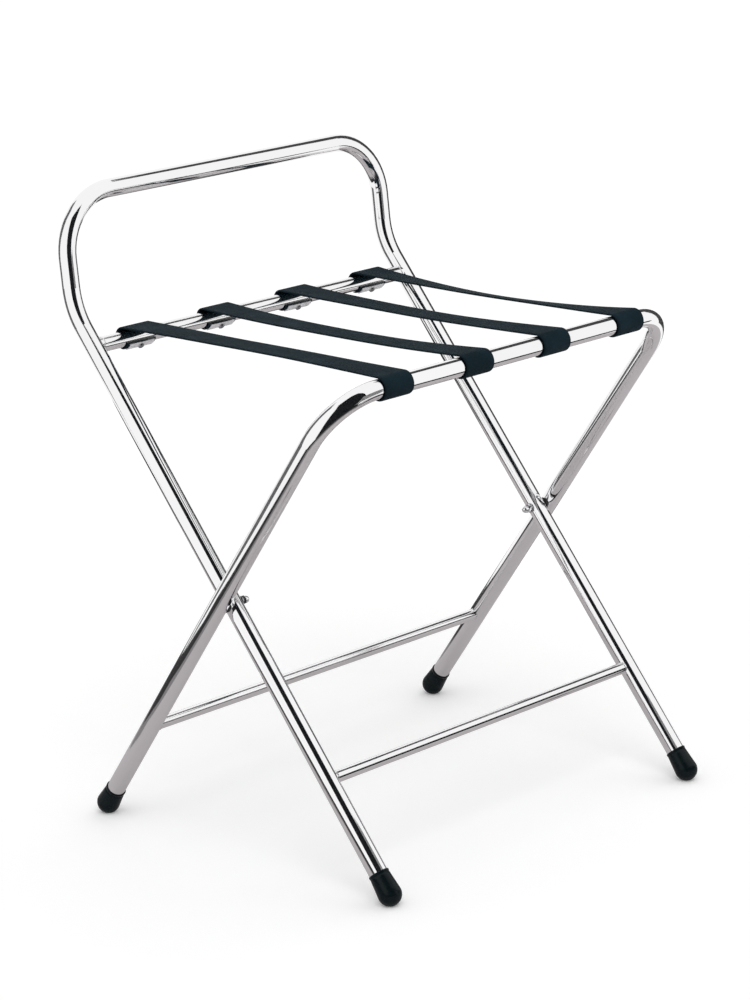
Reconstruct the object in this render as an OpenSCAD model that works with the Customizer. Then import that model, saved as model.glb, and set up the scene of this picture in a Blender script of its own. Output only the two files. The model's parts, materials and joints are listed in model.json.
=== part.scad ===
// Folding luggage rack: a hoop frame and a front frame cross on two pivot bolts,
// and four webbing straps join their seat bars. Millimetres, +Z up, front at -Y.

/* [Tubes] */
// Outside diameter of the two bent frame tubes
tube_d = 19; // [16:0.5:22]
// Wall thickness of the frame tubes
tube_wall = 1.2; // [0.8:0.1:1.6]
// Outside diameter of the rear seat bar
rear_bar_d = 16; // [12:0.5:18]
// Outside diameter of the two lower crossbars
crossbar_d = 12; // [8:0.5:14]
// Wall thickness of the seat bar and the crossbars
bar_wall = 1; // [0.8:0.1:1.5]

/* [Hoop frame] */
// Width of the hoop frame, between the axes of its legs
hoop_frame_w = 441; // [400:1:520]
// Height of the pivot axis above the floor
pivot_h = 259; // [230:1:290]
// Run of a hoop frame leg, from the pivot forward to the floor
hoop_leg_run = 217; // [190:1:240]
// Height of the rear seat bar's axis above the floor
rear_bar_h = 488; // [460:1:520]
// Rise from the rear seat bar to the corner where leg and back rest meet
back_bend_rise = 34; // [32:1:50]
// Centre line radius of the bend between leg and back rest
back_bend_r = 72; // [50:1:80]
// Rise from that corner to the axis of the back rest's top bar
back_rest_rise = 112; // [100:1:180]
// Backward lean of the back rest, in degrees
back_rest_lean = 5.7; // [2:0.1:10]
// Centre line radius of the back rest's top corners
back_corner_r = 62; // [40:1:70]
// Height of the hoop frame's lower crossbar above the floor
hoop_crossbar_h = 107; // [80:1:140]

/* [Front frame] */
// Run of a front frame leg, from the pivot back to the floor
front_leg_run = 188; // [160:1:220]
// Height of the front seat bar's axis above the floor
front_bar_h = 495; // [460:1:520]
// Centre line radius of the front seat bar's corners
front_corner_r = 57; // [35:1:60]
// Height of the front frame's lower crossbar above the floor
front_crossbar_h = 111; // [80:1:140]

/* [Pivots] */
// Space between the two frames' tubes at a pivot
pivot_gap = 1.5; // [1.2:0.1:3]
// Diameter of a pivot bolt
bolt_d = 5; // [4:0.5:6]
// Diameter of the bolt's flat head, inside the front frame tube
bolt_head_d = 9; // [8:0.5:10]
// Thickness of the bolt's flat head
bolt_head_t = 2; // [1:0.1:3]
// Diameter of the spacer between the tubes
spacer_d = 14; // [10:0.5:18]
// Diameter of the washer under a cap nut
washer_d = 10; // [9:0.5:13]
// Thickness of the washer under a cap nut
washer_t = 1; // [0.8:0.1:1.6]
// Width across the flats of a cap nut
nut_flats = 8; // [8:0.5:11]
// Height of a cap nut's hexagon
nut_hex_h = 4; // [3:0.5:6]
// Height of a cap nut with its dome
nut_h = 10; // [9:0.5:14]
// Depth that the bolt reaches into its cap nut
bolt_grip = 5.5; // [4:0.5:7]
// Depth of a cap nut's thread
nut_thread_l = 6.5; // [5:0.5:7.5]

/* [Feet] */
// Largest diameter of a foot, at its round end
foot_d = 24; // [23:0.5:27]
// Diameter of a foot's rim
foot_rim_d = 21; // [20.5:0.5:24]
// Length of a foot's sleeve, from its rim to the start of the round end
foot_sleeve_l = 23; // [18:1:32]
// Depth of the flat worn on the round end where it meets the floor
foot_flat = 0.8; // [0.4:0.1:1.5]

/* [Straps] */
// Distance from the front bar's bends to the edges of the outer straps
strap_inset = 0.25; // [0:0.25:20]
// Width of the webbing
strap_w = 38; // [30:1:50]
// Thickness of the webbing
strap_t = 2; // [1.5:0.1:2.5]
// Sag of a strap half way between the seat bars
strap_sag = 4; // [1:0.5:12]
// Angle that a strap wraps its seat bar, in degrees
wrap_sweep = 255; // [240:1:262]
// Angle of webbing that shows past the plate at a strap's end, in degrees
tail_sweep = 5; // [2:1:15]
// Thickness of the plate that holds a strap's end
plate_t = 1; // [0.8:0.1:1.5]
// Length of that plate along the seat bar
plate_l = 32; // [24:1:36]
// Angle that the plate covers round the seat bar, in degrees
plate_sweep = 56; // [44:1:60]
// Diameter of a strap screw
screw_d = 3.5; // [3:0.1:4]
// Length of a strap screw under its head
screw_l = 9; // [8:0.5:11]
// Diameter of a strap screw's head
screw_head_d = 6.5; // [5:0.1:7]
// Height of a strap screw's head
screw_head_h = 2; // [1.5:0.1:2.5]

/* [Fits] */
// Radial clearance of the bolts, the screws and the feet
fit = 0.05; // [0.02:0.01:0.1]
// Gap left between pieces that move on each other, and at strap seams
running_gap = 0.3; // [0.2:0.05:0.4]
// Gap between the webbing and the bar inside it
wrap_gap = 0.2; // [0.1:0.05:0.3]

/* [Hidden] */
$fn = 64;
// Length that a cut runs past the face it opens.
over = 1;

chrome = [0.86, 0.86, 0.88];
zinc = [0.72, 0.72, 0.74];
nylon = [0.16, 0.16, 0.17];
rubber = [0.08, 0.12, 0.13];
webbing = [0.12, 0.16, 0.19];

tube_r = tube_d / 2;
bore_r = tube_r - tube_wall;
foot_r = foot_d / 2;
back_bend_h = rear_bar_h + back_bend_rise;
front_frame_w = hoop_frame_w + 2 * (tube_d + pivot_gap);
hoop_tube_x = hoop_frame_w / 2;
front_tube_x = front_frame_w / 2;

// Leans of the legs from the vertical: the hoop frame's upwards and back, the front frame's forwards.
hoop_lean = atan(hoop_leg_run / pivot_h);
front_lean = atan(front_leg_run / pivot_h);

// Distances from the pivot axis, measured along a leg.
front_bar_at = (front_bar_h - pivot_h) / cos(front_lean);
back_bend_angle = hoop_lean - back_rest_lean;
back_bend_tangent = back_bend_r * tan(back_bend_angle / 2);
back_bend_at = (back_bend_h - pivot_h) / cos(hoop_lean) - back_bend_tangent;
hoop_crossbar_at = (pivot_h - hoop_crossbar_h) / cos(hoop_lean);
front_crossbar_at = (pivot_h - front_crossbar_h) / cos(front_lean);
foot_centre_h = foot_r - foot_flat;
hoop_foot_at = (pivot_h - foot_centre_h) / cos(hoop_lean);
front_foot_at = (pivot_h - foot_centre_h) / cos(front_lean);
// Straight length of the back rest's uprights.
upright_l = back_rest_rise / cos(back_rest_lean) - back_bend_tangent - back_corner_r;

// Depths of the seat bars, the top bar and the front feet, measured from the pivot axis.
rear_bar_y = (rear_bar_h - pivot_h) * tan(hoop_lean);
front_bar_y = -(front_bar_h - pivot_h) * tan(front_lean);
top_bar_y = (back_bend_h - pivot_h) * tan(hoop_lean) + back_rest_rise * tan(back_rest_lean);
front_foot_y = -hoop_foot_at * sin(hoop_lean);
// The pivot axis lies where the rack's box is centred on the origin.
pivot_y = -(top_bar_y + tube_r + front_foot_y - foot_r) / 2;

// The seat bars' axes, as points of the side plane [y, z].
front_axis = [pivot_y + front_bar_y, front_bar_h];
rear_axis = [pivot_y + rear_bar_y, rear_bar_h];

// Straps: the inside radii of their wraps, and where their undersides leave the bars.
front_wrap_r = tube_r + wrap_gap;
rear_wrap_r = rear_bar_d / 2 + wrap_gap;
seat_run = rear_axis[0] - front_axis[0];
seat_slope = (rear_axis[1] + rear_wrap_r - front_axis[1] - front_wrap_r) / seat_run;
sag_slope = 4 * strap_sag / seat_run;
front_leave = 90 + atan(seat_slope - sag_slope);
rear_leave = 90 + atan(seat_slope + sag_slope);
front_edge = front_axis + front_wrap_r * [cos(front_leave), sin(front_leave)];
rear_edge = rear_axis + rear_wrap_r * [cos(rear_leave), sin(rear_leave)];
seam = running_gap / norm(rear_edge - front_edge);
span_steps = 24;
strap_count = 4;
strap_pitch = (front_frame_w - 2 * (front_corner_r + strap_inset) - strap_w) / (strap_count - 1);

// Angles round the bars, from the back over the top, at which the plates' screws stand.
plate_from_end = tail_sweep + plate_sweep / 2;
front_screw_angle = front_leave + wrap_sweep - plate_from_end;
rear_screw_angle = rear_leave - wrap_sweep + plate_from_end;
front_plate_r = front_wrap_r + strap_t;
rear_plate_r = rear_wrap_r + strap_t;

// The middle of strap i, counted from the left.
function strap_x(i) = (i - (strap_count + 1) / 2) * strap_pitch;

// The sagging line from edge to edge under a strap, with t = 0 at the front bar and 1 at the rear.
function underside(t) =
    front_edge + t * (rear_edge - front_edge) - [0, 4 * strap_sag * t * (1 - t)];

// The direction square to the underside at t, pointing up.
function upwards(t) =
    let (along = rear_edge - front_edge - [0, 4 * strap_sag * (1 - 2 * t)])
    [-along[1], along[0]] / norm(along);

// ---- Places ----

module at_pivot() {
    translate([0, pivot_y, pivot_h]) children();
}

// +Z runs up along the hoop frame's legs, from the pivot axis.
module along_hoop_legs() {
    at_pivot() rotate([-hoop_lean, 0, 0]) children();
}

// +Z runs up along the front frame's legs, from the pivot axis.
module along_front_legs() {
    at_pivot() rotate([front_lean, 0, 0]) children();
}

// +Z runs up along the back rest's uprights, from where their straight part starts.
module along_uprights() {
    along_hoop_legs()
        translate([0, -back_bend_r, back_bend_at])
            rotate([back_bend_angle, 0, 0])
                translate([0, back_bend_r, 0]) children();
}

// X and Y become the side plane's [y, z], and +Z runs to the right along the rack.
module in_side_plane(point = [0, 0]) {
    translate([0, point[0], point[1]]) rotate([90, 0, 90]) children();
}

module left() {
    mirror([1, 0, 0]) children();
}

module both_sides() {
    children();
    left() children();
}

// ---- Shapes ----

// A quarter bend in the XZ plane that turns from +Z to -X.
module corner_bend(bend_r, r) {
    translate([-bend_r, 0, 0])
        rotate([90, 0, 0])
            rotate_extrude(angle = 90)
                translate([bend_r, 0]) circle(r);
}

// A bar along X with its middle at the origin.
module cross_cylinder(l, r) {
    rotate([0, 90, 0]) cylinder(h = l, r = r, center = true);
}

// The hoop frame's bent route as a rod of radius r, with its ends made longer by extra.
module hoop_route(r, extra = 0) {
    along_hoop_legs() both_sides() translate([hoop_tube_x, 0, 0]) {
        translate([0, 0, -hoop_foot_at - extra])
            cylinder(h = hoop_foot_at + back_bend_at + extra, r = r);
        translate([0, -back_bend_r, back_bend_at])
            rotate([90, 0, 90])
                rotate_extrude(angle = back_bend_angle)
                    translate([back_bend_r, 0]) circle(r);
    }
    along_uprights() {
        both_sides() translate([hoop_tube_x, 0, 0]) {
            cylinder(h = upright_l, r = r);
            translate([0, 0, upright_l]) corner_bend(back_corner_r, r);
        }
        translate([0, 0, upright_l + back_corner_r])
            cross_cylinder(hoop_frame_w - 2 * back_corner_r, r);
    }
}

// The front frame's bent route as a rod of radius r, with its ends made longer by extra.
module front_route(r, extra = 0) {
    along_front_legs() {
        both_sides() translate([front_tube_x, 0, 0]) {
            translate([0, 0, -front_foot_at - extra])
                cylinder(h = front_foot_at + front_bar_at - front_corner_r + extra, r = r);
            translate([0, 0, front_bar_at - front_corner_r]) corner_bend(front_corner_r, r);
        }
        translate([0, 0, front_bar_at])
            cross_cylinder(front_frame_w - 2 * front_corner_r, r);
    }
}

// A hollow bar along X, with its ends hollowed to sit on the tubes at x = -half and +half.
module welded_bar(half, d) {
    difference() {
        cross_cylinder(2 * half, d / 2);
        cross_cylinder(2 * half + over, d / 2 - bar_wall);
        both_sides() translate([half, 0, 0])
            cylinder(h = 2 * tube_d, r = tube_r + fit, center = true);
    }
}

// Radial holes for the strap screws in the bar whose axis is at the given point.
module screw_holes(point, angle) {
    in_side_plane(point)
        for (i = [1 : strap_count]) translate([0, 0, strap_x(i)])
            rotate([0, 0, angle]) rotate([0, 90, 0])
                cylinder(h = tube_d, r = screw_d / 2 + fit);
}

// A band round a bar's axis, from one angle over a sweep, centred on z = 0.
module band(r, t, from_angle, sweep, l) {
    rotate([0, 0, from_angle])
        rotate_extrude(angle = sweep)
            translate([r, -l / 2]) square([t, l]);
}

module foot() {
    difference() {
        union() {
            sphere(foot_r);
            cylinder(h = foot_sleeve_l, r1 = foot_r, r2 = foot_rim_d / 2);
        }
        cylinder(h = foot_sleeve_l + over, r = tube_r + fit);
    }
}

// Cuts its children off level with the floor.
module worn_flat() {
    difference() {
        children();
        translate([-front_frame_w, -front_frame_w, -foot_d])
            cube([2 * front_frame_w, 2 * front_frame_w, foot_d]);
    }
}

// ---- Frames ----

module hoop_frame_tube() {
    color(chrome)
        difference() {
            hoop_route(tube_r);
            hoop_route(bore_r, over);
            at_pivot() both_sides() translate([hoop_tube_x, 0, 0])
                cross_cylinder(tube_d + over, bolt_d / 2 + fit);
        }
}

module front_frame_tube() {
    color(chrome)
        difference() {
            front_route(tube_r);
            front_route(bore_r, over);
            at_pivot() both_sides() translate([front_tube_x - tube_r, 0, 0])
                cross_cylinder(tube_r, bolt_d / 2 + fit);
            screw_holes(front_axis, front_screw_angle);
        }
}

module rear_seat_bar() {
    color(chrome)
        difference() {
            along_hoop_legs()
                translate([0, 0, (rear_bar_h - pivot_h) / cos(hoop_lean)])
                    welded_bar(hoop_tube_x, rear_bar_d);
            screw_holes(rear_axis, rear_screw_angle);
        }
}

module hoop_frame_crossbar() {
    color(chrome)
        along_hoop_legs() translate([0, 0, -hoop_crossbar_at]) welded_bar(hoop_tube_x, crossbar_d);
}

module front_frame_crossbar() {
    color(chrome)
        along_front_legs() translate([0, 0, -front_crossbar_at]) welded_bar(front_tube_x, crossbar_d);
}

module foot_front_right() {
    color(rubber)
        worn_flat() along_hoop_legs() translate([hoop_tube_x, 0, -hoop_foot_at]) foot();
}

module foot_rear_right() {
    color(rubber)
        worn_flat() along_front_legs() translate([front_tube_x, 0, -front_foot_at]) foot();
}

// ---- Pivots, drawn for the right side ----

// A flat head lies on two lines inside the round bore, so its face stands this far from the tube's axis.
bolt_face = sqrt(pow(bore_r, 2) - pow(bolt_head_d / 2, 2)) - fit;
washer_x = hoop_tube_x - tube_r - running_gap - washer_t;

// +Z runs inwards along the pivot axis, from the given x.
module inwards_from(x) {
    at_pivot() translate([x, 0, 0]) rotate([0, -90, 0]) children();
}

module pivot_bolt_right() {
    head_x = front_tube_x - bolt_face;
    color(zinc) {
        inwards_from(head_x + bolt_head_t) cylinder(h = bolt_head_t, d = bolt_head_d);
        inwards_from(head_x + bolt_head_t / 2)
            cylinder(h = head_x + bolt_head_t / 2 - washer_x + bolt_grip, d = bolt_d);
    }
}

module ring(d, t) {
    difference() {
        cylinder(h = t, d = d);
        translate([0, 0, -over]) cylinder(h = t + 2 * over, r = bolt_d / 2 + fit);
    }
}

module pivot_spacer_right() {
    color(nylon) inwards_from(front_tube_x - tube_r) ring(spacer_d, pivot_gap - running_gap);
}

module pivot_washer_right() {
    color(zinc) inwards_from(washer_x + washer_t) ring(washer_d, washer_t);
}

module pivot_nut_right() {
    dome_r = 0.95 * nut_flats / 2;
    color(zinc)
        inwards_from(washer_x)
            difference() {
                union() {
                    cylinder(h = nut_hex_h, d = nut_flats / cos(30), $fn = 6);
                    cylinder(h = nut_h - dome_r, r = dome_r);
                    translate([0, 0, nut_h - dome_r]) sphere(dome_r);
                }
                translate([0, 0, -over]) cylinder(h = nut_thread_l + over, r = bolt_d / 2 + fit);
            }
}

// ---- Straps, numbered from the left ----

module strap_span(i) {
    steps = [for (k = [0 : span_steps]) seam + (1 - 2 * seam) * k / span_steps];
    color(webbing)
        in_side_plane() translate([0, 0, strap_x(i) - strap_w / 2])
            linear_extrude(strap_w)
                polygon(concat(
                    [for (t = steps) underside(t)],
                    [for (k = [span_steps : -1 : 0]) underside(steps[k]) + strap_t * upwards(steps[k])]));
}

module strap_front_loop(i) {
    color(webbing)
        difference() {
            in_side_plane(front_axis) translate([0, 0, strap_x(i)])
                band(front_wrap_r, strap_t, front_leave, wrap_sweep, strap_w);
            screw_holes(front_axis, front_screw_angle);
        }
}

module strap_rear_loop(i) {
    color(webbing)
        difference() {
            in_side_plane(rear_axis) translate([0, 0, strap_x(i)])
                band(rear_wrap_r, strap_t, rear_leave - wrap_sweep, wrap_sweep, strap_w);
            screw_holes(rear_axis, rear_screw_angle);
        }
}

module strap_plates(point, r, angle) {
    color(zinc)
        difference() {
            in_side_plane(point) for (i = [1 : strap_count]) translate([0, 0, strap_x(i)])
                band(r, plate_t, angle - plate_sweep / 2, plate_sweep, plate_l);
            screw_holes(point, angle);
        }
}

module strap_screws(point, r, angle) {
    color(zinc)
        in_side_plane(point) for (i = [1 : strap_count]) translate([0, 0, strap_x(i)])
            rotate([0, 0, angle]) translate([r + plate_t, 0, 0]) rotate([0, 90, 0]) {
                cylinder(h = screw_head_h, d = screw_head_d);
                translate([0, 0, -screw_l]) cylinder(h = screw_l + screw_head_h / 2, d = screw_d);
            }
}

module front_strap_plates() {
    strap_plates(front_axis, front_plate_r, front_screw_angle);
}

module rear_strap_plates() {
    strap_plates(rear_axis, rear_plate_r, rear_screw_angle);
}

module front_strap_screws() {
    strap_screws(front_axis, front_plate_r, front_screw_angle);
}

module rear_strap_screws() {
    strap_screws(rear_axis, rear_plate_r, rear_screw_angle);
}

hoop_frame_tube();
front_frame_tube();
rear_seat_bar();
hoop_frame_crossbar();
front_frame_crossbar();
left() foot_front_right();  // foot_front_left
foot_front_right();
left() foot_rear_right();  // foot_rear_left
foot_rear_right();
left() pivot_bolt_right();  // pivot_bolt_left
pivot_bolt_right();
left() pivot_spacer_right();  // pivot_spacer_left
pivot_spacer_right();
left() pivot_washer_right();  // pivot_washer_left
pivot_washer_right();
left() pivot_nut_right();  // pivot_nut_left
pivot_nut_right();
strap_span(1);  // strap_1_span
strap_span(2);  // strap_2_span
strap_span(3);  // strap_3_span
strap_span(4);  // strap_4_span
strap_front_loop(1);  // strap_1_front_loop
strap_front_loop(2);  // strap_2_front_loop
strap_front_loop(3);  // strap_3_front_loop
strap_front_loop(4);  // strap_4_front_loop
strap_rear_loop(1);  // strap_1_rear_loop
strap_rear_loop(2);  // strap_2_rear_loop
strap_rear_loop(3);  // strap_3_rear_loop
strap_rear_loop(4);  // strap_4_rear_loop
front_strap_plates();
rear_strap_plates();
front_strap_screws();
rear_strap_screws();
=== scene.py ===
import json
import math

import bmesh
import bpy
from mathutils import Matrix, Vector

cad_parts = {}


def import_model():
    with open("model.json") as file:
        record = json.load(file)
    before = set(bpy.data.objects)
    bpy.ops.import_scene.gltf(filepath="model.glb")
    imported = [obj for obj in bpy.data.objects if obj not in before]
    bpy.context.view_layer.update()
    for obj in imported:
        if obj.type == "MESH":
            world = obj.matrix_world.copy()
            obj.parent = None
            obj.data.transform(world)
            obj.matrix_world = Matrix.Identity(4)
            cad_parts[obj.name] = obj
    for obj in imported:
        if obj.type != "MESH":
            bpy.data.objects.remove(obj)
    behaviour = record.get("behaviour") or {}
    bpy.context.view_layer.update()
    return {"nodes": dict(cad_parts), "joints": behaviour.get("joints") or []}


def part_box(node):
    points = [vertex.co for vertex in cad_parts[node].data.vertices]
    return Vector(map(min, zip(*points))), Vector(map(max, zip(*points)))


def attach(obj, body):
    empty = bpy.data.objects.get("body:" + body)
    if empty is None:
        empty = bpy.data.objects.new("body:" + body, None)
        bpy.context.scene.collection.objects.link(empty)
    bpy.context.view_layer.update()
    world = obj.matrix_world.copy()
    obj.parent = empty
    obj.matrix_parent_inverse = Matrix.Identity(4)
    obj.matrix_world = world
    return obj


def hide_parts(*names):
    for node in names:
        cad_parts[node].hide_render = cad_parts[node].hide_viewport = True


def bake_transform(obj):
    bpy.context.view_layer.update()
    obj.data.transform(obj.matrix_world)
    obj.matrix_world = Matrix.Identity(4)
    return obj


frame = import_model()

MM = 0.001

# ---------------------------------------------------------------- the rack's sizes, as in its source

TUBE_R = 9.5 * MM
REAR_BAR_R = 8 * MM
CROSSBAR_R = 6 * MM
FOOT_R = 12 * MM
FOOT_RIM_R = 10.5 * MM
FOOT_SLEEVE_L = 23 * MM
FOOT_FLAT = 0.8 * MM
PIVOT_Z = 0.259
HOOP_LEAN = math.atan2(217, 259)
FRONT_LEAN = math.atan2(188, 259)
HOOP_X = 0.2205
FRONT_X = 0.241
REAR_BAR_Z = 0.488
FRONT_BAR_Z = 0.495
STRAP_W = 38 * MM
STRAP_T = 2 * MM
CAD_SAG = 4 * MM
WRAP_GAP = 0.2 * MM
WRAP_SWEEP = 255
FOLD = 70.8

PIVOT_Y = frame["joints"][0]["pos_m"][1]
REAR_BAR_Y = PIVOT_Y + (REAR_BAR_Z - PIVOT_Z) * math.tan(HOOP_LEAN)
FRONT_BAR_Y = PIVOT_Y - (FRONT_BAR_Z - PIVOT_Z) * math.tan(FRONT_LEAN)
# Where the legs of each frame stand, and how they lean.
LEGS = {"hoop_frame": (HOOP_X, -HOOP_LEAN), "front_frame": (FRONT_X, FRONT_LEAN)}
SIDES = (("left", -1), ("right", 1))
STRAP_NUMBERS = (1, 2, 3, 4)


def middle(node):
    low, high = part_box(node)
    return (low + high) / 2


STRAP_X = [middle(f"strap_{i}_span").x for i in STRAP_NUMBERS]

# ---------------------------------------------------------------- camera

# Solved from the edges of the tubes in the photograph, in degrees, metres and millimetres.
CAMERA_AZIMUTH = -44.658
CAMERA_ELEVATION = 16.206
CAMERA_ROLL = -1.5
CAMERA_AT = (-2.2574, -2.2737, 1.2443)
CAMERA_LENS = 117.72
SENSOR_HEIGHT = 36
CAMERA_REACH = 100


def camera():
    azimuth, elevation = math.radians(CAMERA_AZIMUTH), math.radians(CAMERA_ELEVATION)
    roll = math.radians(CAMERA_ROLL)
    back = Vector((math.sin(azimuth) * math.cos(elevation),
                   -math.cos(azimuth) * math.cos(elevation), math.sin(elevation)))
    right = Vector((math.cos(azimuth), math.sin(azimuth), 0))
    up = back.cross(right)
    turned_right = math.cos(roll) * right + math.sin(roll) * up
    turned_up = -math.sin(roll) * right + math.cos(roll) * up
    data = bpy.data.cameras.new("camera")
    data.sensor_fit = "VERTICAL"
    data.sensor_height = SENSOR_HEIGHT
    data.lens = CAMERA_LENS
    data.clip_end = CAMERA_REACH
    obj = bpy.data.objects.new("camera", data)
    turn = Matrix((turned_right, turned_up, back)).transposed().to_4x4()
    obj.matrix_world = Matrix.Translation(CAMERA_AT) @ turn
    bpy.context.scene.collection.objects.link(obj)
    bpy.context.scene.camera = obj


camera()

# ---------------------------------------------------------------- material helpers


class Nodes:
    """A short way to write a material's node tree."""

    def __init__(self, name):
        self.material = bpy.data.materials.new(name)
        self.material.use_nodes = True
        self.tree = self.material.node_tree
        self.shader = self.tree.nodes["Principled BSDF"]

    def fill(self, socket, value):
        """Links a socket to another node's output, or sets it to a plain value."""
        if isinstance(value, bpy.types.NodeSocket):
            self.tree.links.new(value, socket)
        else:
            socket.default_value = value

    def add(self, kind, inputs=(), **settings):
        node = self.tree.nodes.new(kind)
        for key, value in settings.items():
            setattr(node, key, value)
        for key, value in dict(inputs).items():
            self.fill(node.inputs[key], value)
        return node

    def math(self, operation, a, b=0.0, clamp=False):
        inputs = {0: a, 1: b}
        return self.add("ShaderNodeMath", inputs, operation=operation, use_clamp=clamp).outputs[0]

    def wave(self, turns):
        """0 at each whole turn and 1 half way between."""
        return self.math("ABSOLUTE", self.math("SINE", self.math("MULTIPLY", turns, math.pi)))

    def place(self, scale=(1, 1, 1)):
        coordinates = self.add("ShaderNodeTexCoord").outputs["Object"]
        return self.add("ShaderNodeMapping", {"Vector": coordinates, "Scale": scale}).outputs[0]

    def noise(self, scale, detail, at=None):
        at = self.place() if at is None else at
        inputs = {"Scale": scale, "Detail": detail, "Vector": at}
        return self.add("ShaderNodeTexNoise", inputs).outputs[0]

    def between(self, value, low, high, from_low=0.0, from_high=1.0):
        inputs = {"Value": value, "From Min": from_low, "From Max": from_high,
                  "To Min": low, "To Max": high}
        return self.add("ShaderNodeMapRange", inputs).outputs[0]

    def mix(self, factor, a, b):
        return self.add("ShaderNodeMix", {0: factor, 6: a, 7: b}, data_type="RGBA").outputs[2]

    def bump(self, height, strength, distance, under=None):
        inputs = {"Height": height, "Strength": strength, "Distance": distance}
        if under is not None:
            inputs["Normal"] = under
        return self.add("ShaderNodeBump", inputs).outputs[0]

    def finish(self, **sockets):
        for key, value in sockets.items():
            self.fill(self.shader.inputs[key.replace("_", " ")], value)
        return self.material


def srgb(red, green, blue):
    def linear(c):
        c /= 255
        return c / 12.92 if c <= 0.04045 else ((c + 0.055) / 1.055) ** 2.4
    return (linear(red), linear(green), linear(blue), 1.0)


def grey(level, green=None, blue=None):
    """A plain linear colour. Green and blue are given where they aren't the same as red."""
    return (level, level if green is None else green, level if blue is None else blue, 1)


def darker(colour, share):
    return tuple(c * share for c in colour[:3]) + (1,)


# ---------------------------------------------------------------- materials

# The webbing's weave: how often each kind of yarn comes round, and the tight edge beside it.
CHEVRON_PITCH = 9.5 * MM
RIB_PITCH = 1.4 * MM
YARN_PITCH = 0.7 * MM
PICK_PITCH = 1.1 * MM
SELVEDGE_STARTS = 2.6 * MM
SELVEDGE_FULL = 2.0 * MM
# How far up from the floor a rubber foot is scuffed.
SCUFF_HEIGHT = 7 * MM


def chrome(name, rough_low, rough_high, tint, scratch):
    """Bright plate: faint polishing lines, cloudy smears and a few pits, on a mirror base."""
    n = Nodes(name)
    smears = n.noise(24, 4)
    clouds = n.noise(7, 2)
    lines = n.noise(55, 2, at=n.place((1, 1, 26)))
    pits = n.add("ShaderNodeTexVoronoi", {"Vector": n.place(), "Scale": 420.0}).outputs["Distance"]
    pit = n.between(pits, 1, 0, 0.0, 0.11)
    rough = n.math("ADD", n.between(smears, rough_low, rough_high, 0.35, 0.72),
                   n.math("MULTIPLY", pit, 0.1))
    shade = n.mix(n.between(clouds, 0, 1, 0.35, 0.7), tint, darker(tint, 0.965))
    fine = n.bump(lines, scratch, 0.1 * MM)
    return n.finish(Base_Color=shade, Metallic=1.0, Roughness=rough,
                    Normal=n.bump(n.math("MULTIPLY", pit, -1.0), 0.25, 0.1 * MM, fine))


def plated(name, colour, rough, stretch, metal=1.0):
    """Zinc plate or plain steel: grain along the part, and dull blotches. A chalky plate is less
    metallic."""
    n = Nodes(name)
    grain = n.noise(900, 3, at=n.place(stretch))
    blotches = n.between(n.noise(160, 3), 0, 1, 0.3, 0.75)
    return n.finish(Base_Color=n.mix(blotches, colour, darker(colour, 0.72)), Metallic=metal,
                    Roughness=n.between(grain, rough, rough + 0.22, 0.3, 0.7),
                    Normal=n.bump(grain, 0.25, 0.1 * MM))


def rubber(name):
    """Moulded rubber: a fine skin with a low shine, and a pale scuff where it meets the floor."""
    n = Nodes(name)
    skin = n.noise(1500, 2)
    mottle = n.noise(140, 4)
    height = n.add("ShaderNodeSeparateXYZ", {"Vector": n.place()}).outputs["Z"]
    near_floor = n.between(height, 1, 0, 0.0, SCUFF_HEIGHT)
    worn = n.between(n.noise(420, 4), 0, 1, 0.4, 0.62)
    scuff = n.math("MULTIPLY", near_floor, worn, clamp=True)
    base = n.mix(n.between(mottle, 0, 1, 0.3, 0.75), srgb(6, 16, 19), srgb(12, 24, 27))
    return n.finish(Base_Color=n.mix(n.math("MULTIPLY", scuff, 0.35), base, srgb(80, 84, 84)),
                    Roughness=n.between(mottle, 0.22, 0.34, 0.3, 0.7),
                    Specular_IOR_Level=0.16, Normal=n.bump(skin, 0.18, 0.2 * MM))


def nylon(name):
    n = Nodes(name)
    return n.finish(Base_Color=n.mix(n.noise(300, 2), srgb(44, 44, 46), srgb(56, 56, 58)),
                    Roughness=n.between(n.noise(700, 2), 0.4, 0.55),
                    Normal=n.bump(n.noise(900, 2), 0.12, 0.1 * MM))


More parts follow.
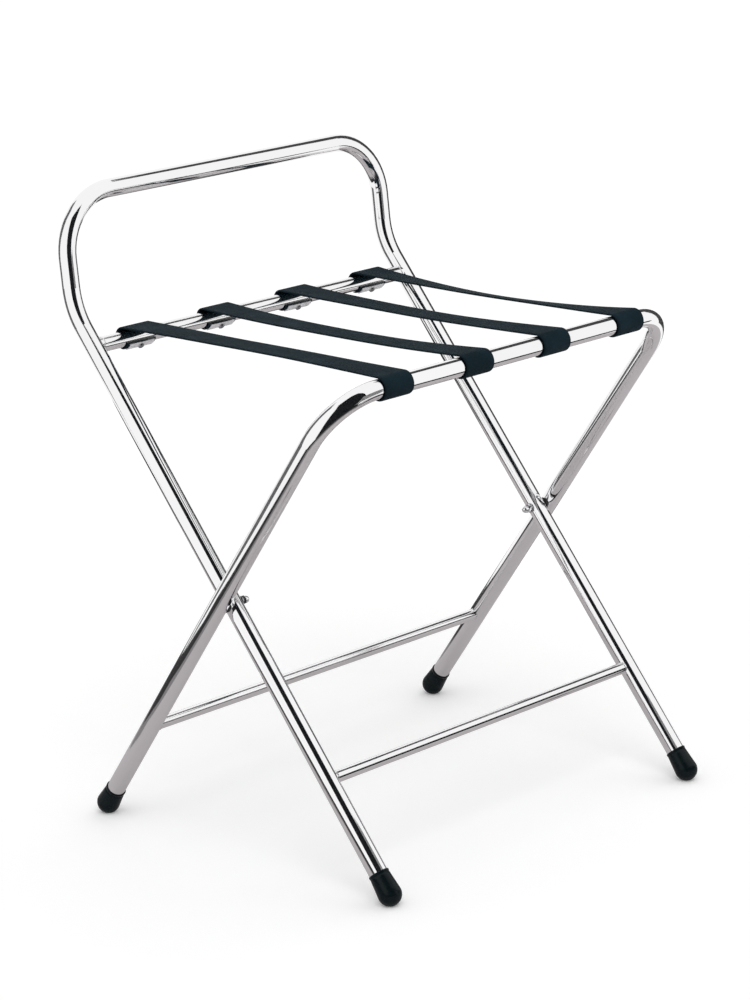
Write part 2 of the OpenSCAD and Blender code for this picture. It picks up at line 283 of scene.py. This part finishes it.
def webbing(name):
    """Woven tape: U runs across it and V along it, in metres. Chevron ribs, a tight selvedge at both
    edges, painted highlight and painted shade in the colour, paler on the raised yarns and darker in
    the grooves between them, and worn, slightly dusty high spots."""
    n = Nodes(name)
    uv = n.add("ShaderNodeSeparateXYZ", {"Vector": n.add("ShaderNodeTexCoord").outputs["UV"]})
    across, along = uv.outputs["X"], uv.outputs["Y"]
    edge = n.math("ABSOLUTE", n.math("SUBTRACT", across, STRAP_W / 2))
    selvedge = n.between(edge, 0, 1, STRAP_W / 2 - SELVEDGE_STARTS, STRAP_W / 2 - SELVEDGE_FULL)
    place_in_chevron = n.math("FRACT", n.math("DIVIDE", across, CHEVRON_PITCH))
    chevron = n.math("ABSOLUTE", n.math("SUBTRACT", place_in_chevron, 0.5))
    slant = n.math("ADD", n.math("DIVIDE", along, RIB_PITCH), n.math("MULTIPLY", chevron, 7.0))
    rib = n.wave(slant)
    yarn = n.wave(n.math("DIVIDE", across, YARN_PITCH))
    body = n.math("ADD", n.math("MULTIPLY", rib, 0.7), n.math("MULTIPLY", yarn, 0.3))
    picks = n.wave(n.math("DIVIDE", along, PICK_PITCH))
    weave = n.add("ShaderNodeMix", {0: selvedge, 2: body, 3: picks}).outputs[0]
    worn = n.between(n.noise(38, 4), 0, 1, 0.42, 0.72)
    dark = n.mix(worn, srgb(6, 21, 27), srgb(12, 28, 35))
    light = n.mix(worn, srgb(19, 37, 45), srgb(29, 48, 57))
    # Painted highlight and painted shade: the colour follows the weave's height, which the bump uses
    # too, so it is paler on the raised yarns and darker in the grooves, over the yarn's own dark
    # teal.
    thread = n.mix(n.between(weave, 0, 1, 0.15, 0.95), dark, light)
    edged = n.mix(n.math("MULTIPLY", selvedge, 0.45), thread, srgb(14, 26, 32))
    fuzz = n.noise(5200, 2)
    height = n.math("ADD", weave, n.math("MULTIPLY", fuzz, 0.35))
    return n.finish(Base_Color=edged, Roughness=n.between(weave, 0.85, 0.7),
                    Specular_IOR_Level=0.07, Normal=n.bump(height, 0.55, 0.35 * MM))


def sealed_edge(name):
    """The melted, hard edge of a heat-cut tape."""
    n = Nodes(name)
    return n.finish(Base_Color=n.mix(n.noise(900, 3), srgb(12, 20, 24), srgb(34, 44, 48)),
                    Roughness=n.between(n.noise(500, 3), 0.3, 0.55),
                    Normal=n.bump(n.noise(1400, 3), 0.5, 0.3 * MM))


BAR_TINT = grey(0.92, 0.915, 0.92)
TUBE_CHROME = chrome("tube_chrome", 0.035, 0.09, grey(0.93, 0.925, 0.935), 0.05)
BAR_CHROME = chrome("bar_chrome", 0.06, 0.14, BAR_TINT, 0.08)
CROSSBAR_CHROME = chrome("crossbar_chrome", 0.08, 0.15, BAR_TINT, 0.08)
NUT_CHROME = chrome("nut_chrome", 0.08, 0.18, grey(0.9, 0.9, 0.92), 0.1)
WELD_CHROME = chrome("weld_chrome", 0.12, 0.28, grey(0.84, 0.84, 0.86), 0.3)
ZINC = plated("zinc_plate", grey(0.6, 0.6, 0.62), 0.22, (1, 1, 1))
PLATE_STEEL = plated("plate_steel", grey(0.92, 0.92, 0.94), 0.3, (0.12, 1, 1), metal=0.55)
SCREW_STEEL = plated("screw_steel", grey(0.4, 0.4, 0.41), 0.3, (1, 1, 1))
RUBBER = rubber("foot_rubber")
NYLON = nylon("spacer_nylon")
WEBBING = webbing("strap_webbing")
SEALED = sealed_edge("strap_sealed_edge")

NODE_MATERIALS = {
    "hoop_frame_tube": TUBE_CHROME, "front_frame_tube": TUBE_CHROME, "rear_seat_bar": BAR_CHROME,
    "hoop_frame_crossbar": CROSSBAR_CHROME, "front_frame_crossbar": CROSSBAR_CHROME,
    "front_strap_plates": PLATE_STEEL, "rear_strap_plates": PLATE_STEEL,
    "front_strap_screws": SCREW_STEEL, "rear_strap_screws": SCREW_STEEL}
for side, _ in SIDES:
    for part, material in (("foot_front", RUBBER), ("foot_rear", RUBBER), ("pivot_bolt", ZINC),
                           ("pivot_washer", ZINC), ("pivot_spacer", NYLON),
                           ("pivot_nut", NUT_CHROME)):
        NODE_MATERIALS[f"{part}_{side}"] = material
for number in STRAP_NUMBERS:
    for part in ("span", "front_loop", "rear_loop"):
        NODE_MATERIALS[f"strap_{number}_{part}"] = WEBBING

for node, material in NODE_MATERIALS.items():
    slots = frame["nodes"][node].data.materials
    slots.clear()
    slots.append(material)

# ---------------------------------------------------------------- mesh helpers


def new_object(name, bm, *materials):
    bm.normal_update()
    mesh = bpy.data.meshes.new(name)
    bm.to_mesh(mesh)
    bm.free()
    obj = bpy.data.objects.new(name, mesh)
    bpy.context.scene.collection.objects.link(obj)
    for material in materials:
        mesh.materials.append(material)
    for polygon in mesh.polygons:
        polygon.use_smooth = True
    return obj


def grid(bm, rows, closed=False):
    """Faces between rows of vertices. With closed, the last vertex of a row joins its first."""
    faces = []
    for a, b in zip(rows, rows[1:]):
        count = len(a)
        for k in range(count if closed else count - 1):
            after = (k + 1) % count
            faces.append(bm.faces.new((a[k], a[after], b[after], b[k])))
    return faces


def fan(bm, hub, ring):
    """Closes a ring of vertices with triangles to one vertex."""
    for k, vertex in enumerate(ring):
        bm.faces.new((hub, vertex, ring[(k + 1) % len(ring)]))


def turns_of(count):
    """Angles once round a circle."""
    return [2 * math.pi * k / count for k in range(count)]


# ---------------------------------------------------------------- straps

# Sag half way along each strap at its left and right edges, in millimetres.
STRAP_SAGS = ((-2.0, 0.5), (3.5, 6.5), (2.5, 5.5), (1.5, 10.0))
MIDPLANE = STRAP_T / 2
# How far the webbing stands off the bars where it comes over the top, and over how many degrees.
TOP_OF_BAR = 92
REAR_LIFT, REAR_LIFT_HALF = 2.4 * MM, 105
FRONT_LIFT, FRONT_LIFT_HALF = 0.5 * MM, 75
# The first degrees of the rear wrap lie flat under the plate. Beyond them the webbing waves a little.
CLAMPED = 60
WRAP_WAVE = 0.12 * MM
SPAN_WAVE = 0.25 * MM
WRAP_STEPS = 48

# When the rack folds, the slack webbing hangs between the two bars. Each point of a strap keeps its
# distance from the pivot, so the share of the fold that it takes sets where it hangs. HANG is the
# direction from the pivot, in degrees from the vertical, at which the webbing hangs when folded, at
# each cut between two stretches of a strap. The shares and blend ends below are worked out from it,
# but the straps are built only unfolded and nothing here moves them.
HANG = {0.165: 38.0, 0.120: 37.9, -0.120: 37.1, -0.165: 37.1}
CUTS = tuple(HANG)
REAR_RIGID_Y = 0.178
FRONT_RIGID_Y = -0.173

STRETCHES = ("rear_wrap", "rear_reach", "webbing", "front_reach", "front_wrap")
# The part of the CAD strap that a stretch stands for.
STANDS_FOR = {"rear_wrap": "rear_loop", "webbing": "span", "front_wrap": "front_loop"}
# The materials of a stretch: its sides, a heat-cut end, and an end that joins the next stretch.
SIDES_SLOT, CUT_SLOT, JOIN_SLOT = 0, 1, 2


def direction_at(y):
    """The direction from the pivot to the CAD strap at y, in degrees from the vertical."""
    run = (REAR_BAR_Y - y) / (REAR_BAR_Y - FRONT_BAR_Y)
    rear_top, front_top = REAR_BAR_Z + REAR_BAR_R, FRONT_BAR_Z + TUBE_R
    z = rear_top + run * (front_top - rear_top) - 4 * CAD_SAG * run * (1 - run)
    return math.degrees(math.atan2(y - PIVOT_Y, z + MIDPLANE - PIVOT_Z))


def place_on_curve(share):
    """Where a smooth step from 0 to 1 reaches the share."""
    low, high = 0.0, 1.0
    for _ in range(50):
        mid = (low + high) / 2
        if mid * mid * (3 - 2 * mid) < share:
            low = mid
        else:
            high = mid
    return (low + high) / 2


def blend_ends(y_a, y_b):
    """The start and end of a blend that takes each y's share of the fold there."""
    a, b = place_on_curve(SHARES[y_a]), place_on_curve(SHARES[y_b])
    span = (y_a - y_b) / (b - a)
    start = y_a + a * span
    return start, start - span


SHARES = {y: (HANG[y] - direction_at(y)) / FOLD for y in CUTS}
SHARES[REAR_RIGID_Y] = 0.0
SHARES[FRONT_RIGID_Y] = 1.0
FOLD_PLACES = (REAR_RIGID_Y,) + CUTS + (FRONT_RIGID_Y,)
BLEND_ENDS = [blend_ends(a, b) for a, b in zip(FOLD_PLACES, FOLD_PLACES[1:])]


def leave_angles(sag):
    """The angles round the rear and front bars at which a strap with this sag leaves them."""
    run = REAR_BAR_Y - FRONT_BAR_Y
    slope = (REAR_BAR_Z + REAR_BAR_R - FRONT_BAR_Z - TUBE_R) / run
    bend = 4 * sag / run
    return 90 + math.degrees(math.atan(slope + bend)), 90 + math.degrees(math.atan(slope - bend))


def around(y, z, radius, angle):
    turn = math.radians(angle)
    return Vector((0, y + radius * math.cos(turn), z + radius * math.sin(turn)))


def bump_at(angle, centre, half):
    """1 at the centre angle, falling smoothly to 0 at half degrees from it."""
    t = max(0.0, 1 - abs(angle - centre) / half)
    return t * t * (3 - 2 * t)


def strap_path(sag, phase):
    """Points of a strap's mid-plane at one place across it, in five stretches from the rear cut end
    to the front cut end, with the same number of points whatever the sag."""
    rear_leave, front_leave = leave_angles(sag)
    rear_r = REAR_BAR_R + WRAP_GAP + MIDPLANE
    front_r = TUBE_R + WRAP_GAP + MIDPLANE
    rear_end = leave_angles(CAD_SAG)[0] - WRAP_SWEEP
    front_end = leave_angles(CAD_SAG)[1] + WRAP_SWEEP
    rear, front = [], []
    for k in range(WRAP_STEPS + 1):
        angle = rear_end + (rear_leave - rear_end) * k / WRAP_STEPS
        lift = REAR_LIFT * bump_at(angle, TOP_OF_BAR, REAR_LIFT_HALF)
        lift += WRAP_WAVE * math.sin(angle / 14 + phase)
        if angle < rear_end + CLAMPED:
            lift = 0
        rear.append(around(REAR_BAR_Y, REAR_BAR_Z, rear_r + lift, angle))
        angle = front_leave + (front_end - front_leave) * k / WRAP_STEPS
        lift = FRONT_LIFT * bump_at(angle, TOP_OF_BAR, FRONT_LIFT_HALF)
        front.append(around(FRONT_BAR_Y, FRONT_BAR_Z, front_r + lift, angle))
    top, bottom = rear[-1], front[0]

    def on_span(y):
        t = (top.y - y) / (top.y - bottom.y)
        z = top.z + (bottom.z - top.z) * t - 4 * sag * t * (1 - t)
        wave = SPAN_WAVE * math.sin(9 * t + phase) * math.sin(math.pi * t)
        return Vector((0, y, z + wave))

    def stretch(a, b, count):
        return [on_span(a + (b - a) * k / count) for k in range(count + 1)]

    first = rear[:-1] + stretch(top.y, CUTS[0], 6)
    between = [stretch(a, b, count) for a, b, count in zip(CUTS, CUTS[1:], (8, 36, 8))]
    last = stretch(CUTS[3], bottom.y, 6) + front[1:]
    return [first, *between, last]


def profile_across():
    """Places across a strap and the half thickness there, from the left edge to the right. The
    edges are rounded."""
    half = STRAP_W / 2
    edge = ((0.0, 0.0), (0.15, 0.5), (0.45, 0.78), (0.9, 0.95), (1.6, 1.0), (2.6, 1.0))
    left = [(inset * MM - half, share * MIDPLANE) for inset, share in edge]
    start = left[-1][0]
    inner = [(start * (1 - k / 5), MIDPLANE) for k in range(1, 10)]
    return left + inner + [(-x, t) for x, t in reversed(left)]


ACROSS = profile_across()


def strap_columns(number):
    """The path of a strap at each place across it, and the path of its middle."""
    left_sag, right_sag = (s * MM for s in STRAP_SAGS[number - 1])
    phase = 1.7 * number
    columns = []
    for x, _ in ACROSS:
        share = (x + STRAP_W / 2) / STRAP_W
        sag = left_sag + (right_sag - left_sag) * share
        columns.append(strap_path(sag, phase + 0.25 * share))
    return columns, strap_path((left_sag + right_sag) / 2, phase)


def neighbours(column, index, j):
    """The points before and after point j of a stretch, taken across the join to the next."""
    part = column[index]
    behind = part[j - 1] if j > 0 else (column[index - 1][-2] if index > 0 else part[0])
    ahead = part[j + 1] if j < len(part) - 1 else (column[index + 1][1] if index < 4 else part[-1])
    return behind, ahead


def strap_stretch(name, number, index, columns, lengths):
    """One stretch of a strap: over its top from the left edge to the right, and back under it."""
    bm = bmesh.new()
    uv = bm.loops.layers.uv.new("UVMap")
    top_side = [(i, 1) for i in range(len(ACROSS))]
    under_side = [(i, -1) for i in range(len(ACROSS) - 2, 0, -1)]
    rows, marks = [], {}
    for j, length in enumerate(lengths):
        ring = []
        for i, side in top_side + under_side:
            x, half_t = ACROSS[i]
            behind, ahead = neighbours(columns[i], index, j)
            along = (ahead - behind).normalized()
            normal = Vector((0, along.z, -along.y))
            centre = Vector((STRAP_X[number - 1] + x, 0, 0)) + columns[i][index][j]
            vertex = bm.verts.new(centre + normal * side * half_t)
            marks[vertex] = (x + STRAP_W / 2, length)
            ring.append(vertex)
        rows.append(ring)
    grid(bm, rows, closed=True)
    last = len(STRETCHES) - 1
    for ring, cut_end in ((rows[0][::-1], index == 0), (rows[-1], index == last)):
        bm.faces.new(ring).material_index = CUT_SLOT if cut_end else JOIN_SLOT
    for face in bm.faces:
        for loop in face.loops:
            loop[uv].uv = marks[loop.vert]
    return new_object(name, bm, WEBBING, SEALED, WEBBING)


def build_strap(number):
    columns, middle_column = strap_columns(number)
    travelled = 0.0
    pieces = []
    for index, stretch in enumerate(STRETCHES):
        lengths = [travelled]
        route = middle_column[index]
        for a, b in zip(route, route[1:]):
            lengths.append(lengths[-1] + (b - a).length)
        obj = strap_stretch(f"strap_{number}_{stretch}", number, index, columns, lengths)
        if stretch in STANDS_FOR:
            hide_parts(f"strap_{number}_{STANDS_FOR[stretch]}")
        pieces.append((obj, lengths[-1] - travelled))
        travelled = lengths[-1]
    keep_normals([obj for obj, _ in pieces])
    for (obj, length), (start, end) in zip(pieces, BLEND_ENDS):
        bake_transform(obj)
    return travelled


def keep_normals(objects):
    """Gives the vertices that two stretches of a strap share one normal, so that the join doesn't
    show. The end faces stay flat."""
    def key(obj, index):
        return tuple(round(c * 1e6) for c in obj.data.vertices[index].co)

    sums = {}
    for obj in objects:
        for polygon in obj.data.polygons:
            if polygon.material_index == SIDES_SLOT:
                for index in polygon.vertices:
                    at = key(obj, index)
                    sums[at] = sums.get(at, Vector()) + polygon.normal * polygon.area
    for obj in objects:
        normals = [None] * len(obj.data.loops)
        for polygon in obj.data.polygons:
            flat = polygon.material_index != SIDES_SLOT
            for loop, index in zip(polygon.loop_indices, polygon.vertices):
                smooth = sums[key(obj, index)]
                normals[loop] = polygon.normal.copy() if flat else smooth.normalized()
        obj.data.normals_split_custom_set(normals)


STRAP_LENGTHS = [build_strap(number) for number in STRAP_NUMBERS]
print("strap lengths, mm:", [round(length / MM) for length in STRAP_LENGTHS])

# ---------------------------------------------------------------- feet

FOOT_SEGMENTS = 72
MOULD_LINE = 0.22 * MM
ROLL_R = 0.9 * MM
# A foot's lowest points stop just above the floor.
LOWEST = 0.02 * MM


def leg_matrix(x, lean):
    """+Z runs up along a leg, from the pivot axis."""
    return Matrix.Translation((x, PIVOT_Y, PIVOT_Z)) @ Matrix.Rotation(lean, 4, "X")


def foot_outline():
    """Height and radius from the tip up: a round end, a tapered sleeve, a groove and a rolled rim."""
    outline = []
    for k in range(13):
        angle = math.radians(-90 + 90 * k / 12)
        outline.append((FOOT_R * math.sin(angle), FOOT_R * math.cos(angle)))
    sleeve_r = FOOT_RIM_R - 0.25 * MM
    for k in range(1, 9):
        t = k / 8
        outline.append((t * (FOOT_SLEEVE_L - 3.4 * MM), FOOT_R + (sleeve_r - FOOT_R) * t))
    groove = FOOT_SLEEVE_L - 3.0 * MM
    outline += [(groove, FOOT_RIM_R - 0.55 * MM), (groove + 0.4 * MM, FOOT_RIM_R - 0.1 * MM)]
    for k in range(9):
        angle = math.radians(110 * k / 8)
        outline.append((FOOT_SLEEVE_L - ROLL_R + ROLL_R * math.sin(angle),
                        FOOT_RIM_R - ROLL_R + ROLL_R * math.cos(angle) + 0.1 * MM))
    outline.append((FOOT_SLEEVE_L - 1.6 * MM, TUBE_R + 0.06 * MM))
    return outline


def foot(name, node, sign, body):
    """A pushed-on rubber foot, with a mould line on both sides."""
    x, lean = LEGS[body]
    at = (PIVOT_Z - FOOT_R + FOOT_FLAT) / math.cos(lean)
    half = FOOT_SEGMENTS // 2
    bm = bmesh.new()
    rows = []
    for z, r in foot_outline()[1:]:
        ring = []
        for k, angle in enumerate(turns_of(FOOT_SEGMENTS)):
            line = max(0.0, 1 - min(k % half, half - k % half) / 1.2)
            raised = r + MOULD_LINE * line * (1 if r > TUBE_R + 0.2 * MM else 0)
            ring.append(bm.verts.new((raised * math.cos(angle), raised * math.sin(angle), z)))
        rows.append(ring)
    grid(bm, rows, closed=True)
    fan(bm, bm.verts.new((0, 0, -FOOT_R)), rows[0][::-1])
    bm.transform(leg_matrix(sign * x, lean) @ Matrix.Translation((0, 0, -at)))
    for vertex in bm.verts:
        vertex.co.z = max(vertex.co.z, LOWEST)
    obj = new_object(name, bm, RUBBER)
    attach(obj, body)
    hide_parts(node)


for side, sign in SIDES:
    foot(f"rubber_foot_front_{side}", f"foot_front_{side}", sign, "hoop_frame")
    foot(f"rubber_foot_rear_{side}", f"foot_rear_{side}", sign, "front_frame")

# ---------------------------------------------------------------- weld beads

BEAD_STEPS = 96
BEAD_SIDES = 10


def weld_bead(name, body, sign, bar_z, bar_r):
    """A small rippled fillet where a bar meets a leg tube, on the saddle line between the two."""
    x, lean = LEGS[body]
    along = Vector((-sign, 0, 0))
    bm = bmesh.new()
    rows = []
    for angle in turns_of(BEAD_STEPS) + [2 * math.pi]:
        spread = bar_r * math.sin(angle)
        base = Vector((-sign * math.sqrt(TUBE_R ** 2 - spread ** 2), bar_r * math.cos(angle), spread))
        outwards = Vector((0, math.cos(angle), math.sin(angle)))
        size = (0.6 + 0.1 * math.sin(17 * angle) + 0.07 * math.sin(7 * angle + 1)) * MM
        rows.append([bm.verts.new(base + size * (math.cos(turn) * outwards + math.sin(turn) * along))
                     for turn in turns_of(BEAD_SIDES)])
    grid(bm, rows, closed=True)
    bmesh.ops.remove_doubles(bm, verts=bm.verts, dist=1e-6)
    bmesh.ops.recalc_face_normals(bm, faces=bm.faces)
    up_the_leg = Matrix.Translation((0, 0, (bar_z - PIVOT_Z) / math.cos(lean)))
    bm.transform(leg_matrix(sign * x, lean) @ up_the_leg)
    obj = new_object(name, bm, WELD_CHROME)
    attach(obj, body)


for side, sign in SIDES:
    weld_bead(f"weld_rear_bar_{side}", "hoop_frame", sign, REAR_BAR_Z, REAR_BAR_R)
    weld_bead(f"weld_hoop_crossbar_{side}", "hoop_frame", sign,
              middle("hoop_frame_crossbar").z, CROSSBAR_R)
    weld_bead(f"weld_front_crossbar_{side}", "front_frame", sign,
              middle("front_frame_crossbar").z, CROSSBAR_R)

# ---------------------------------------------------------------- strap screws

SCREW_HEAD_R = 3.25 * MM
SCREW_R = 1.75 * MM
HEAD_H = 2.0 * MM
DOME_H = 1.3 * MM
RECESS = 0.9 * MM
RECESS_ZONE = 1.2 * MM
THREAD_STEP = 0.35 * MM
THREAD_DEPTH = 0.18 * MM
SCREW_SEGMENTS = 64


def screw_outline(top, bottom):
    """Radius and height down a pan head screw, from the edge of its flat top to its tip."""
    outline = [(0.22 * SCREW_HEAD_R, top), (0.34 * SCREW_HEAD_R, top - 0.02 * MM)]
    for k in range(1, 9):
        angle = math.radians(90 * k / 8)
        outline.append((SCREW_HEAD_R * (0.34 + 0.66 * math.sin(angle)),
                        top - DOME_H * (1 - math.cos(angle))))
    thread = top - HEAD_H
    outline += [(SCREW_HEAD_R, thread), (0.98 * SCREW_HEAD_R, thread)]
    turns = int((thread - bottom) / THREAD_STEP)
    for k in range(turns + 1):
        outline.append((SCREW_R - (THREAD_DEPTH if k % 2 else 0),
                        thread - (thread - bottom) * k / turns))
    return outline + [(SCREW_R * 0.5, bottom)]


def in_cross(a, b):
    """Whether a place on the head is in one of the two slots of the cross recess."""
    narrow, wide = sorted((abs(a), abs(b)))
    return narrow < 0.14 * SCREW_HEAD_R and wide < 0.58 * SCREW_HEAD_R


def strap_screws(name, node, body, bar_y, bar_z):
    """The four screws through the strap plates of a bar: pan heads with a cross recess, and
    threaded shanks. They point at the bar from where the CAD screws are."""
    old = frame["nodes"][node].data
    side = Vector((1, 0, 0))
    bm = bmesh.new()
    for centre_x in STRAP_X:
        points = [v.co for v in old.vertices if abs(v.co.x - centre_x) < STRAP_W / 2]
        centre = sum(points, Vector()) / len(points)
        on_bar = Vector((centre_x, bar_y, bar_z))
        out = Vector((0, centre.y - bar_y, centre.z - bar_z)).normalized()
        across = side.cross(out)
        along = [(p - on_bar).dot(out) for p in points]
        top, bottom = max(along), min(along)
        rows = []
        for r, height in screw_outline(top, bottom):
            ring = []
            for angle in turns_of(SCREW_SEGMENTS):
                a, b = r * math.cos(angle), r * math.sin(angle)
                depth = RECESS if height > top - RECESS_ZONE and in_cross(a, b) else 0
                ring.append(bm.verts.new(on_bar + a * side + b * across + (height - depth) * out))
            rows.append(ring)
        grid(bm, rows, closed=True)
        fan(bm, bm.verts.new(on_bar + (top - RECESS) * out), rows[0])
        fan(bm, bm.verts.new(on_bar + bottom * out), rows[-1])
    bmesh.ops.recalc_face_normals(bm, faces=bm.faces)
    obj = new_object(name, bm, SCREW_STEEL)
    obj.data.set_sharp_from_angle(angle=math.radians(40))
    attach(obj, body)
    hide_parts(node)


strap_screws("strap_screws_rear", "rear_strap_screws", "hoop_frame", REAR_BAR_Y, REAR_BAR_Z)
strap_screws("strap_screws_front", "front_strap_screws", "front_frame", FRONT_BAR_Y, FRONT_BAR_Z)

# ---------------------------------------------------------------- light, world and floor

ROOM_LIGHT = 0.7
FLOOR_LIFT = 0.1
FLOOR_SIZE = 16
FLAG_STEPS = 8
# The sheet under the rack: its middle and half size, its height, and the part of its rim that
# stays flat at the front right.
SHEET_AT = (0.01, 0.1, 0.0004)
SHEET_HALF = (0.6, 0.85)
SHEET_STEPS = 96
OPEN_SIDE = range(74, 96)
# Reach and height of the sheet's rings, where its face, its margin and its raised edge end.
SHEET_RINGS = ((0.4, 0.0), (0.78, 0.0), (0.9, 0.016), (1.0, 0.1))


def world():
    """A white room. Cloth and paint get a little less of it, because the two lamps add the rest."""
    made = bpy.data.worlds.new("studio")
    made.use_nodes = True
    bpy.context.scene.world = made
    tree = made.node_tree
    background = tree.nodes["Background"]
    background.inputs["Color"].default_value = (1, 1, 1, 1)
    path = tree.nodes.new("ShaderNodeLightPath")
    seen = path.outputs["Is Camera Ray"]
    for ray in ("Is Glossy Ray", "Is Transmission Ray"):
        either = tree.nodes.new("ShaderNodeMath")
        either.operation = "MAXIMUM"
        tree.links.new(seen, either.inputs[0])
        tree.links.new(path.outputs[ray], either.inputs[1])
        seen = either.outputs[0]
    level = tree.nodes.new("ShaderNodeMapRange")
    level.inputs["To Min"].default_value = ROOM_LIGHT
    tree.links.new(seen, level.inputs["Value"])
    tree.links.new(level.outputs[0], background.inputs["Strength"])


def lamp(name, direction, angle, strength):
    """A broad soft light, the same over the whole floor. Metal doesn't show it."""
    data = bpy.data.lights.new(name, "SUN")
    data.energy = strength
    data.angle = math.radians(angle)
    obj = bpy.data.objects.new(name, data)
    obj.rotation_euler = Vector(direction).to_track_quat("Z", "Y").to_euler()
    obj.visible_glossy = False
    bpy.context.scene.collection.objects.link(obj)


def floor():
    """Pale paper that keeps the shadow. The camera sees it a little lighter, so that it joins the
    background."""
    bm = bmesh.new()
    bmesh.ops.create_grid(bm, x_segments=8, y_segments=8, size=FLOOR_SIZE)
    n = Nodes("floor_paper")
    camera_ray = n.add("ShaderNodeLightPath").outputs["Is Camera Ray"]
    n.finish(Base_Color=n.mix(n.noise(0.6, 2), grey(0.97), grey(0.99)), Roughness=0.9,
             Specular_IOR_Level=0.0, Emission_Color=grey(1),
             Emission_Strength=n.math("MULTIPLY", camera_ray, FLOOR_LIFT),
             Normal=n.bump(n.noise(900, 2), 0.02, 0.1 * MM))
    obj = new_object("floor", bm, n.material)
    obj.visible_glossy = False


def paper(name, low, high):
    n = Nodes(name)
    return n.finish(Base_Color=n.mix(n.noise(30, 2), low, high), Roughness=1.0,
                    Specular_IOR_Level=0.0)


def only_in_metal(obj):
    for ray in ("camera", "diffuse", "transmission", "volume_scatter", "shadow"):
        setattr(obj, f"visible_{ray}", False)


def flag(name, felt, foot_left, foot_right, top_left, top_right):
    """A dark screen at the side of the set. It gives the metal its dark lines."""
    bm = bmesh.new()
    rows = []
    for k in range(FLAG_STEPS + 1):
        rise = k / FLAG_STEPS
        left = Vector(foot_left).lerp(Vector(top_left), rise)
        right = Vector(foot_right).lerp(Vector(top_right), rise)
        rows.append([bm.verts.new(left.lerp(right, m / FLAG_STEPS)) for m in range(FLAG_STEPS + 1)])
    grid(bm, rows)
    only_in_metal(new_object(name, bm, felt))


def board(name, felt, left, right, y, low, high):
    """A flag that stands upright and parallel to the rack's front."""
    flag(name, felt, (left, y, low), (right, y, low), (left, y, high), (right, y, high))


def ground_sheet(sheet, shade, line):
    """The grey sheet that the rack stands on, as the metal shows it. Its margin is shaded and its
    edge is dark and stands up, but not on the open side."""
    bm = bmesh.new()
    margin = SHEET_RINGS[1][0]
    rings = []
    for reach, height in SHEET_RINGS:
        ring = []
        for k, angle in enumerate(turns_of(SHEET_STEPS)):
            x, y = (math.copysign(abs(c) ** 0.8, c) for c in (math.cos(angle), math.sin(angle)))
            up, out = height, reach
            if k in OPEN_SIDE:
                up, out = 0, reach + 0.3 * max(0, reach - margin) / (1 - margin)
            ring.append(bm.verts.new((SHEET_AT[0] + SHEET_HALF[0] * out * x,
                                      SHEET_AT[1] + SHEET_HALF[1] * out * y, SHEET_AT[2] + up)))
        rings.append(ring)
    bm.faces.new(rings[0])
    for index, (inner, outer) in enumerate(zip(rings, rings[1:])):
        for k, face in enumerate(grid(bm, [outer, inner], closed=True)):
            face.material_index = 0 if k in OPEN_SIDE else index
    only_in_metal(new_object("ground_sheet", bm, sheet, shade, line))


BLACK_FELT = paper("black_felt", grey(0.008, 0.009, 0.01), grey(0.02, 0.022, 0.024))
GREY_FELT = paper("grey_felt", grey(0.05, 0.05, 0.052), grey(0.08, 0.08, 0.083))
PALE_FELT = paper("pale_felt", grey(0.13, 0.13, 0.132), grey(0.17, 0.17, 0.173))
LIGHT_FELT = paper("light_felt", grey(0.27, 0.27, 0.273), grey(0.31, 0.31, 0.314))
GREY_SHEET = paper("grey_sheet", grey(0.49, 0.465, 0.472), grey(0.52, 0.495, 0.502))
SHEET_MARGIN = paper("sheet_margin", grey(0.22, 0.21, 0.215), grey(0.26, 0.25, 0.255))
SHEET_EDGE = paper("sheet_edge", grey(0.03), grey(0.06, 0.058, 0.06))

world()
floor()
# The screen that the photographer stands behind, leaning over the rack, and the cloth at its foot.
flag("near_screen", BLACK_FELT,
     (-0.88, -0.60, 0), (0.08, -1.06, 0), (-0.96, -0.39, 1.7), (-0.24, -0.73, 1.7))
flag("screen_cloth", BLACK_FELT,
     (-0.88, -0.60, 0.001), (0.08, -1.06, 0.001), (-0.64, -0.42, 0.001), (0.05, -0.76, 0.001))
# The far sides of the set.
flag("right_screen", GREY_FELT,
     (1.29, -0.30, 0), (1.29, 0.60, 0), (1.29, -0.12, 2.4), (1.29, 0.80, 2.4))
flag("left_screen", PALE_FELT,
     (-1.27, 1.09, 0), (-0.42, 1.58, 0), (-1.27, 1.09, 2.4), (-0.42, 1.58, 2.4))
# Boards before the rack, for the lines on its crossbars and on the back.
board("low_board", BLACK_FELT, 0.05, 0.95, -0.5, 0.01, 0.215)
board("seat_board", LIGHT_FELT, -0.15, 0.17, -0.62, 0.3, 0.58)
ground_sheet(GREY_SHEET, SHEET_MARGIN, SHEET_EDGE)
lamp("key", (-0.45, -0.55, 1.0), 40, 0.75)
lamp("fill", (0.8, 0.1, 0.9), 50, 0.3)
bpy.context.scene.view_settings.view_transform = "Standard"
